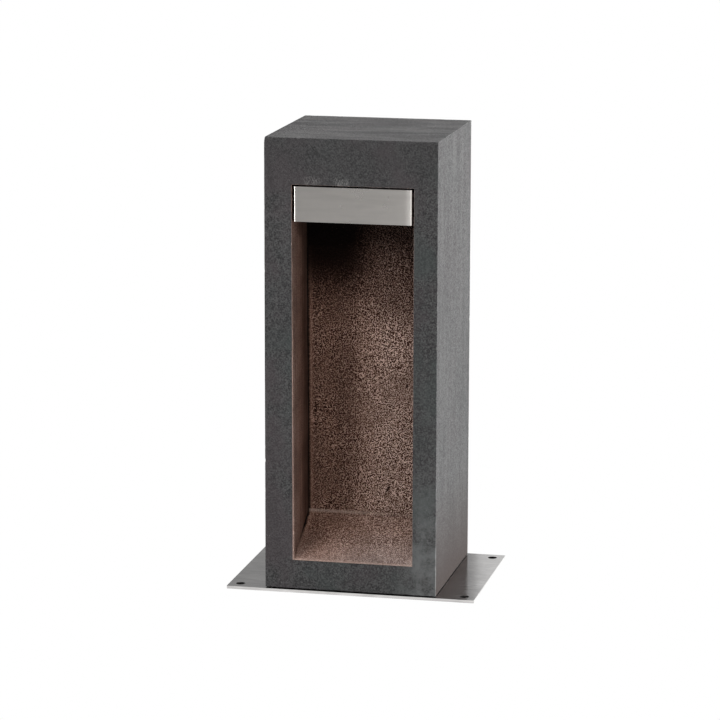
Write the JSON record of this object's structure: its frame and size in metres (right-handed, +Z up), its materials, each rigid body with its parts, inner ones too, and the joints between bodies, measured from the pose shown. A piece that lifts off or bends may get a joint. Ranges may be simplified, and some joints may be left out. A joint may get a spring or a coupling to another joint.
{
  "type": "stone garden light",
  "caption": "Square stone garden lantern on a stainless steel base plate: a tall niche with a sloping floor, lit from a flush steel LED lamp head under its roof.",
  "frame": {"origin": "centre of the base plate's underside, on the ground", "axes": "+Z up along the block, -Y out of the niche (front), +X to the right seen from the front, along the plate's ears"},
  "size_m": [0.218, 0.156, 0.395],
  "materials": {
    "plate_steel": "brushed stainless steel, long grain along X",
    "head_steel": "brushed stainless steel, fine grain across the face",
    "screw_steel": "plain stainless steel",
    "stone": "dark grey honed stone outside, rough warm brown in the niche",
    "base_rubber": "black rubber sheet",
    "inlet_rubber": "moulded black rubber",
    "silicone": "translucent white silicone rubber",
    "connector_plastic": "black glass-filled nylon",
    "terminal_plastic": "light grey plastic",
    "clamp_plastic": "black nylon",
    "nylon": "grey nylon",
    "driver_plastic": "white potted plastic case",
    "lead_sheath": "black rubber sheath",
    "core_brown": "brown wire insulation",
    "core_blue": "blue wire insulation",
    "core_green_yellow": "green and yellow wire insulation",
    "core_red": "red wire insulation",
    "core_black": "black wire insulation",
    "heat_spreader": "mill-finish aluminium",
    "thermal_pad": "grey heat-conducting pad",
    "board": "white solder mask",
    "led_phosphor": "yellow phosphor in a white package",
    "reflector_white": "matt white reflector",
    "frosted_glass": "frosted safety glass",
    "brass": "plain brass"
  },
  "bodies": {
    "root": {"base_gasket": "base_rubber", "base_plate": "plate_steel", "base_screw_1": "screw_steel", "base_screw_2": "screw_steel", "base_screw_3": "screw_steel", "base_screw_4": "screw_steel", "carrier_plate": "heat_spreader", "clamp_screw_left": "screw_steel", "clamp_screw_right": "screw_steel", "connector_body": "connector_plastic", "connector_nut_lower": "connector_plastic", "connector_nut_upper": "connector_plastic", "connector_seal_lower": "silicone", "connector_seal_upper": "silicone", "cord_clamp": "clamp_plastic", "core_earth": "core_green_yellow", "core_live": "core_brown", "core_neutral": "core_blue", "earth_lug": "brass", "earth_screw": "brass", "frame_screw_1": "screw_steel", "frame_screw_2": "screw_steel", "frame_screw_3": "screw_steel", "frame_screw_4": "screw_steel", "head_grommet": "inlet_rubber", "head_housing": "head_steel", "housing_screw_left": "screw_steel", "housing_screw_right": "screw_steel", "internal_lead": "lead_sheath", "led_board": "board", "led_chip_1": "led_phosphor", "led_chip_2": "led_phosphor", "led_chip_3": "led_phosphor", "led_chip_4": "led_phosphor", "led_chip_5": "led_phosphor", "led_chip_6": "led_phosphor", "led_driver": "driver_plastic", "led_lead_minus": "core_black", "led_lead_plus": "core_red", "lens_frame": "head_steel", "lens_gasket": "silicone", "lens_glass": "frosted_glass", "plate_grommet": "inlet_rubber", "reflector": "reflector_white", "sealing_washer_left": "inlet_rubber", "sealing_washer_right": "inlet_rubber", "standoff_1": "screw_steel", "standoff_2": "screw_steel", "standoff_3": "screw_steel", "standoff_4": "screw_steel", "stone_anchor_1": "brass", "stone_anchor_2": "brass", "stone_anchor_3": "brass", "stone_anchor_4": "brass", "stone_body": "stone", "terminal_block": "terminal_plastic", "thermal_pad": "thermal_pad", "wall_plug_left": "nylon", "wall_plug_right": "nylon"}
  },
  "joints": []
}
